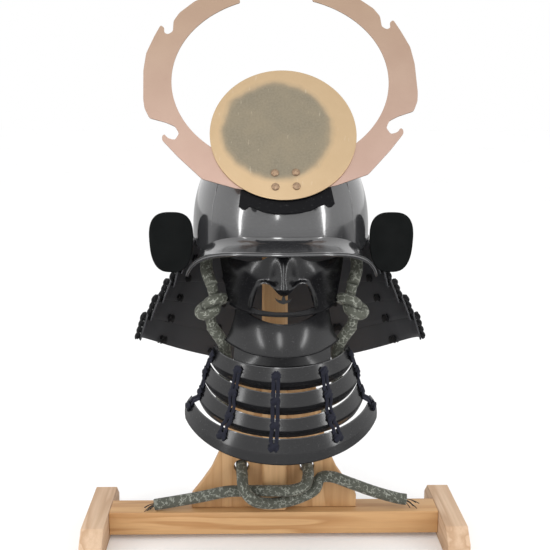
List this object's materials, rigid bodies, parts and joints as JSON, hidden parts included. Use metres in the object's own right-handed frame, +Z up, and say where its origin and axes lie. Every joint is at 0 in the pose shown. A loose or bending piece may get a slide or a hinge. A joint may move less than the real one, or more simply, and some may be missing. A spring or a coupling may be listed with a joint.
{
  "type": "samurai helmet with face mask on wooden stand",
  "caption": "Black lacquered samurai helmet with open ring crest, brass disc, laced neck guard, face mask and throat guard, tied by a patterned cord to a plain wooden stand.",
  "frame": {"origin": "on the floor under the middle of the stand", "axes": "+Z up, the mask and crest face -Y, the feet of the stand at both ends of X"},
  "size_m": [0.478, 0.3114, 0.6929],
  "materials": {
    "pine": "planed, unvarnished",
    "black_lacquer": "glossy black lacquer",
    "matte_black": "dull black",
    "copper": "brushed copper",
    "brass": "aged, tarnished toward the middle of the disc",
    "navy_lace": "flat braid",
    "cord_green": "woven tube with a pale cloud pattern"
  },
  "bodies": {
    "root": {"foot_left": "pine", "foot_right": "pine", "crossbar": "pine", "back_board": "pine", "post": "pine", "head_rest": "pine", "bowl": "black_lacquer", "brow_peak": "black_lacquer", "crest_holder": "black_lacquer", "mask_face": "black_lacquer", "mask_chin": "black_lacquer", "chin_flange": "black_lacquer", "lip_tab": "black_lacquer", "neck_lame_1": "black_lacquer", "neck_lame_2": "black_lacquer", "neck_lame_3": "black_lacquer", "neck_lame_4": "black_lacquer", "neck_lame_5": "black_lacquer", "throat_lame_1": "black_lacquer", "throat_lame_2": "black_lacquer", "throat_lame_3": "black_lacquer", "throat_lame_4": "black_lacquer", "turnback_left": "matte_black", "turnback_right": "matte_black", "cheek_peg_left": "matte_black", "cheek_peg_right": "matte_black", "crest_ring": "copper", "crest_disc": "brass", "crest_rivet_1": "brass", "crest_rivet_2": "brass", "crest_rivet_3": "brass", "crest_rivet_4": "brass", "neck_lace_1": "navy_lace", "neck_lace_2": "navy_lace", "neck_lace_3": "navy_lace", "neck_lace_4": "navy_lace", "neck_lace_5": "navy_lace", "neck_lace_6": "navy_lace", "neck_lace_7": "navy_lace", "throat_lace_1": "navy_lace", "throat_lace_2": "navy_lace", "throat_lace_3": "navy_lace", "throat_lace_4": "navy_lace", "throat_lace_5": "navy_lace", "cord_crown": "cord_green", "knot_left": "cord_green", "knot_right": "cord_green", "cord_left": "cord_green", "cord_right": "cord_green"}
  },
  "joints": []
}
